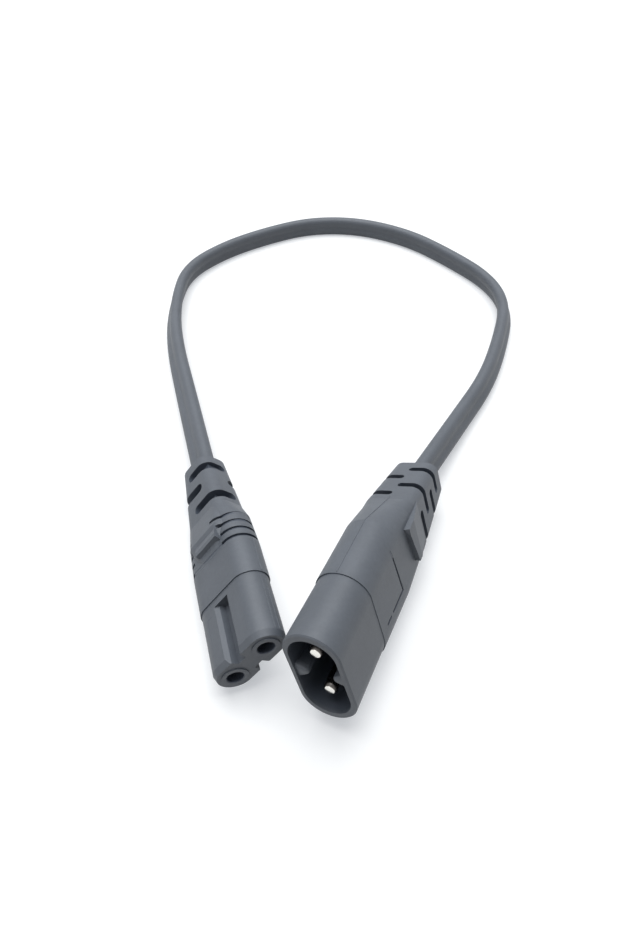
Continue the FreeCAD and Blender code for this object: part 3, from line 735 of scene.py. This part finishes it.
def seam_beads(name, lay, edge, offsets, width, finish):
    """Beads along both narrow edges of a connector, at these distances from the middle."""
    points = []
    links = []
    for side in (1, -1):
        for y in offsets:
            first = len(points)
            points += [lay.point(side * x, y, depth) for depth, x in edge]
            links += [(i, i + 1) for i in range(first, len(points) - 1)]
    mesh = bpy.data.meshes.new(name)
    mesh.from_pydata(points, links, [])
    piece = bpy.data.objects.new(name, mesh)
    bpy.context.scene.collection.objects.link(piece)
    modifier = piece.modifiers.new("seam", "NODES")
    modifier.node_group = seam_tree
    modifier[SEAM_INPUTS["Bead width"]] = width * MM
    modifier[SEAM_INPUTS["Sides"]] = BEAD_SIDES
    modifier[SEAM_INPUTS["Finish"]] = finish.material
    placed = piece.evaluated_get(bpy.context.evaluated_depsgraph_get())
    made = bpy.data.meshes.new_from_object(placed)
    piece.modifiers.clear()
    piece.data = made
    made.polygons.foreach_set("use_smooth", [True] * len(made.polygons))
    made.set_sharp_from_angle(angle=math.radians(50))
    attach(piece, "root")
    print(name, len(made.polygons), "faces")


seam_beads("socket_seam", SOCKET, SOCKET_EDGE, [0.0], 0.2, socket_soft)
seam_beads("insert_seam", SOCKET, INSERT_EDGE, [0.45, -0.45], 0.14, insert_hard)
seam_beads("plug_seam", PLUG, PLUG_EDGE, [0.0], 0.2, plug_soft)

# %% [markdown]
# ## Metal
# The pins are nickel-plated and drawn, so faint lines run along them. Their flat tips stay
# bright, while the barrel behind gets painted shade: a brownish tone and a rougher finish. The
# contact sleeves deep in the bores are brass, and the strands are copper.

# %% Pins, contacts and strands
PAINTED_SHADE_FROM = 1.27
DRAWN_LINES = 2600.0
DRAWN_STRETCH = (1.0, 0.12, 1.0)
DRAWN_DEPTH = 0.000002


def metal(name, colour, roughness, shaded_barrel=None):
    """Drawn metal with a faint uneven polish, and painted shade on the barrels behind the
    plug's tips.
    """
    made = Finish(name)
    streaks = made.noise(DRAWN_LINES, stretch=DRAWN_STRETCH)
    tone = made.tint(streaks, tuple(0.8 * c for c in colour), colour)
    rough = roughness - 0.05 + streaks * 0.1
    if shaded_barrel is not None:
        # Painted shade: past this depth the barrel gets a darker brownish tone and more
        # roughness.
        behind = made.on(PLUG)[2].above(PAINTED_SHADE_FROM, 0.05)
        tone = made.tint(behind, tone, shaded_barrel)
        rough = rough + behind * 0.12
    made.set(Metallic=1.0, Base_Color=tone, Roughness=rough,
             Normal=made.relief(streaks, DRAWN_DEPTH))
    return made


dress(metal("nickel", (0.86, 0.84, 0.79), 0.16, shaded_barrel=(0.10, 0.093, 0.088)),
      "pin_1", "pin_2", "plug_pin_1", "plug_pin_2")
dress(metal("brass", (0.72, 0.55, 0.26), 0.38), "socket_contact_1", "socket_contact_2")
dress(metal("copper", (0.80, 0.42, 0.26), 0.35), "socket_strand_1", "socket_strand_2",
      "plug_strand_1", "plug_strand_2")
print("metal finishes ready")

# %% [markdown]
# ## Inner pieces
# Nobody sees the inner mouldings and cores, but a reader who takes the lead apart should find
# them finished as well: plain pale premoulds and two insulated cores.

# %% Inner mouldings and cores
INNER_MOTTLE = 900.0


def plain_plastic(name, dark, light, roughness):
    made = Finish(name)
    mottle = made.noise(INNER_MOTTLE)
    made.set(Base_Color=made.tint(mottle, dark, light), Roughness=roughness + mottle * 0.08)
    return made


dress(plain_plastic("premould", (0.44, 0.44, 0.42), (0.55, 0.55, 0.52), 0.5),
      "socket_inner_mould", "plug_inner_mould")
dress(plain_plastic("brown core", (0.19, 0.08, 0.03), (0.25, 0.11, 0.05), 0.4),
      "socket_core_1", "plug_core_1")
dress(plain_plastic("blue core", (0.04, 0.13, 0.40), (0.06, 0.17, 0.50), 0.4),
      "socket_core_2", "plug_core_2")
print("inner finishes ready")

# %% [markdown]
# ## The table
# The background is pure white, but the lead still throws a soft shadow. A white floor lit
# only by lamps would need so much light that the black plastic would wash out. So the floor
# is a pale surface that also adds some white of its own, for camera, mirror and glass rays
# only: the sum is white, and a shadow still darkens the lit part of it. Far from the lead,
# where the lamps don't reach, the floor's own white takes over.

# %% Floor
FLOOR_HALF = 3.0
FLOOR_TONE = (0.60, 0.59, 0.57, 1.0)
NEAR_GLOW = (0.45, 0.465, 0.49)
FAR_GLOW = (1.0, 1.0, 1.0)
GLOW_TURNS_AT = 0.9
GLOW_SOFT = 0.5


def shown(finish):
    """1 for a ray from the camera, a mirror or glass, and 0 for light that falls on things."""
    rays = finish.tree.nodes.new("ShaderNodeLightPath").outputs
    camera_ray, mirror_ray, glass_ray = (Wire(finish, rays["Is %s Ray" % kind])
                                         for kind in ("Camera", "Glossy", "Transmission"))
    return camera_ray.most(mirror_ray).most(glass_ray)


floor_mesh = bpy.data.meshes.new("floor")
floor_mesh.from_pydata([(-FLOOR_HALF, -FLOOR_HALF, 0), (FLOOR_HALF, -FLOOR_HALF, 0),
                        (FLOOR_HALF, FLOOR_HALF, 0), (-FLOOR_HALF, FLOOR_HALF, 0)],
                       [], [(0, 1, 2, 3)])
floor = bpy.data.objects.new("floor", floor_mesh)
bpy.context.scene.collection.objects.link(floor)

table = Finish("table")
table.set(Base_Color=FLOOR_TONE, Roughness=0.9, Specular_IOR_Level=0.0)
away = table.node("ShaderNodeVectorMath", {"operation": "LENGTH"}, {0: table.place}, "Value")
glow = table.tint(away.above(GLOW_TURNS_AT, GLOW_SOFT), NEAR_GLOW, FAR_GLOW)
table.set(Emission_Color=glow, Emission_Strength=shown(table))
dress(table, "floor")
print("floor ready")

# %% [markdown]
# ## Light
# A large soft box hangs above the loop and a weaker one stands at the front left, as in a
# light tent. The world adds a weak, even fill from all round. To the camera and in reflections
# it is the tent's white wall, which gives the plastic its broad dull shine.

# %% Lamps and world
LAMP_TONE = (0.96, 0.98, 1.0)
WALL_TONE = (1.0, 1.0, 1.0)
FILL_TONE = (0.94, 0.97, 1.0)
FILL = 0.12


class Tent(Finish):
    """The world, whose nodes are made in the same way as a material's."""

    def __init__(self, name):
        self.world = bpy.data.worlds.new(name)
        self.world.use_nodes = True
        self.tree = self.world.node_tree
        self.background = self.tree.nodes["Background"]


def soft_box(name, place, target, size, power):
    """Square lamp of a size in metres and a power in watts, aimed at a target."""
    lamp = bpy.data.lights.new(name, "AREA")
    lamp.shape = "SQUARE"
    lamp.size = size
    lamp.energy = power
    lamp.color = LAMP_TONE
    made = bpy.data.objects.new(name, lamp)
    made.location = place
    made.rotation_euler = (Vector(target) - Vector(place)).to_track_quat("-Z", "Y").to_euler()
    bpy.context.scene.collection.objects.link(made)


soft_box("overhead", place=(-0.05, 0.25, 0.8), target=(0.0, 0.04, 0.0), size=0.8, power=9.7)
soft_box("front left", place=(-0.5, -0.45, 0.5), target=(0.0, 0.0, 0.0), size=0.4, power=0.6)

tent = Tent("tent")
wall = shown(tent)
tent.feed(tent.background.inputs["Color"], tent.tint(wall, FILL_TONE, WALL_TONE))
tent.feed(tent.background.inputs["Strength"], FILL + wall * (1 - FILL))
bpy.context.scene.world = tent.world
bpy.context.scene.view_settings.view_transform = "Standard"
print("lights ready")
